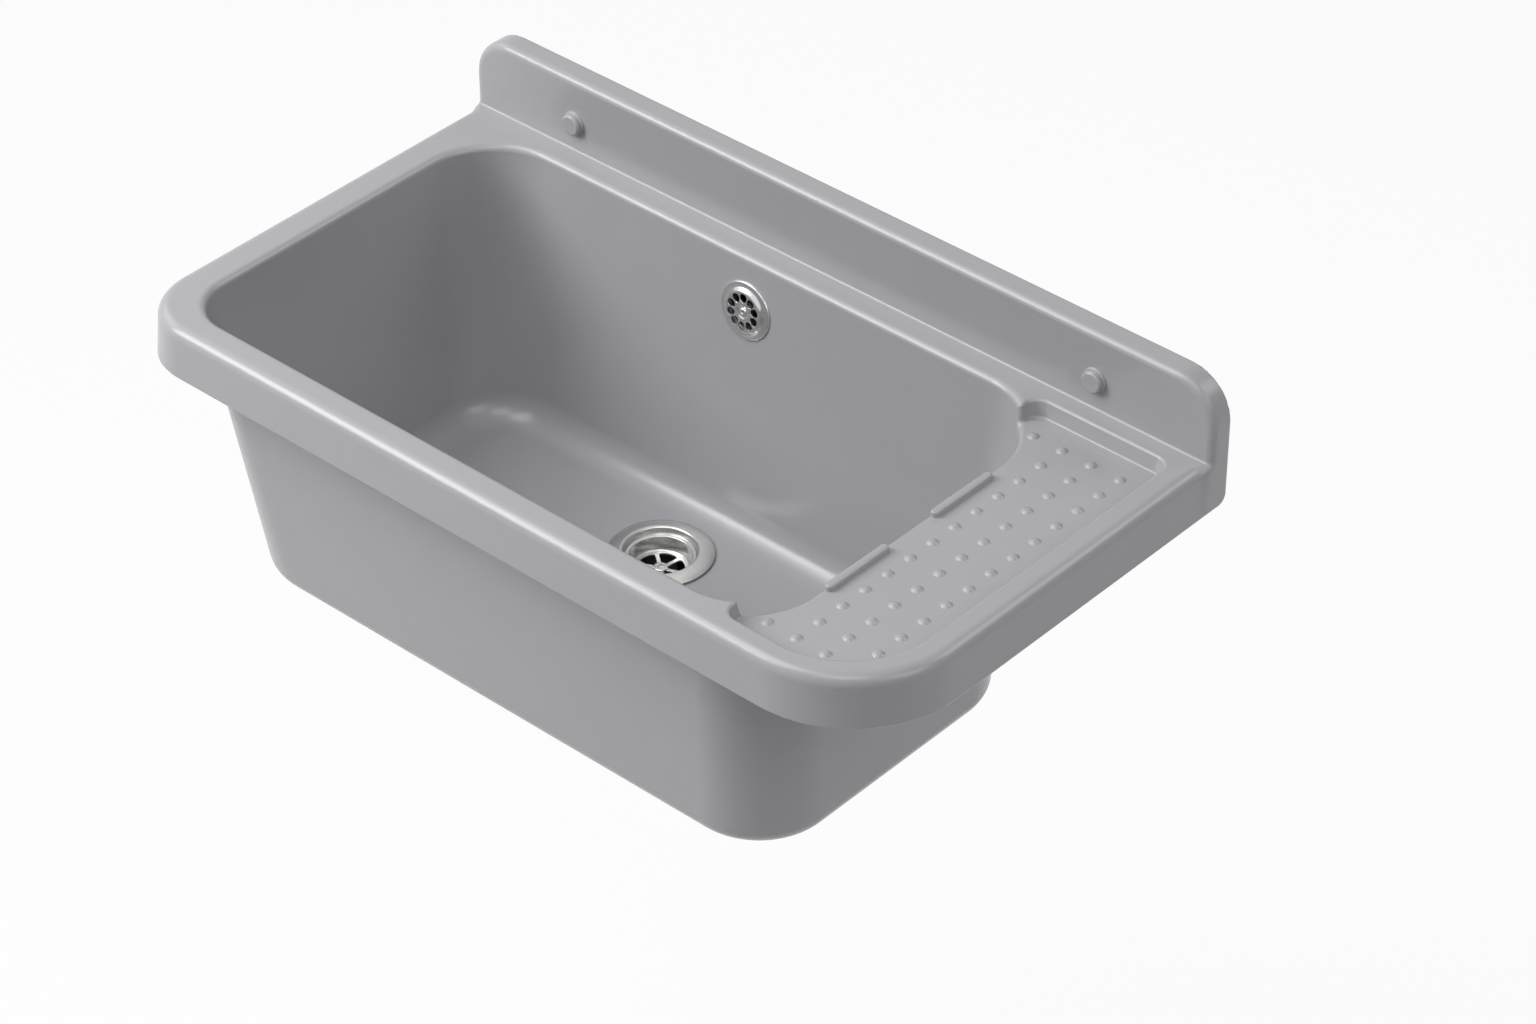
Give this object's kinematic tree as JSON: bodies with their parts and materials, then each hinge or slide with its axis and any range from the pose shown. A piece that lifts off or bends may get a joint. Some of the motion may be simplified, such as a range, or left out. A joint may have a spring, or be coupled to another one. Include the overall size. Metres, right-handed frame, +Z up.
{
  "type": "mop service sink",
  "caption": "Wall-hung moulded plastic utility sink with a deep bowl, a backsplash, a studded drip tray, a strainer waste and an overflow.",
  "frame": {"origin": "on the wall, midway between the two wall screws", "axes": "+X along the wall to the drip tray's end, +Y into the wall, +Z up"},
  "size_m": [0.6, 0.355, 0.326],
  "materials": {
    "grey_plastic": "moulded grey polypropylene, semi-gloss",
    "grey_cap": "moulded grey plastic, semi-gloss",
    "zinc_steel": "zinc-plated steel",
    "stainless_sheet": "pressed stainless sheet, satin flange and bright cup",
    "stainless_screw": "turned stainless",
    "brass_insert": "turned brass",
    "black_rubber": "moulded rubber",
    "black_plastic": "moulded black polypropylene",
    "chromed_rosette": "bright chromed pressing",
    "hose_plastic": "ribbed flexible plastic"
  },
  "bodies": {
    "sink": {"basin": "grey_plastic", "cap_collar_left": "grey_cap", "cap_collar_right": "grey_cap", "wall_screw_left": "zinc_steel", "wall_screw_right": "zinc_steel", "strainer_flange": "stainless_sheet", "strainer_screw": "stainless_screw", "brass_nut": "brass_insert", "flange_seal": "black_rubber", "body_seal": "black_rubber", "waste_body": "black_plastic", "overflow_rosette": "chromed_rosette", "rosette_screw": "chromed_rosette", "overflow_seal": "black_rubber", "overflow_elbow": "black_plastic", "overflow_hose": "hose_plastic", "hose_clip": "zinc_steel", "hose_washer": "black_rubber", "hose_nut": "black_plastic"},
    "cap_left": {"screw_cap_left": "grey_cap"},
    "cap_right": {"screw_cap_right": "grey_cap"}
  },
  "joints": [
    {"name": "cap_left_pull", "type": "slide", "parent": "sink", "child": "cap_left", "axis": [0, -1, 0], "range_m": [0, 0.02]},
    {"name": "cap_right_pull", "type": "slide", "parent": "sink", "child": "cap_right", "axis": [0, -1, 0], "range_m": [0, 0.02]}
  ]
}
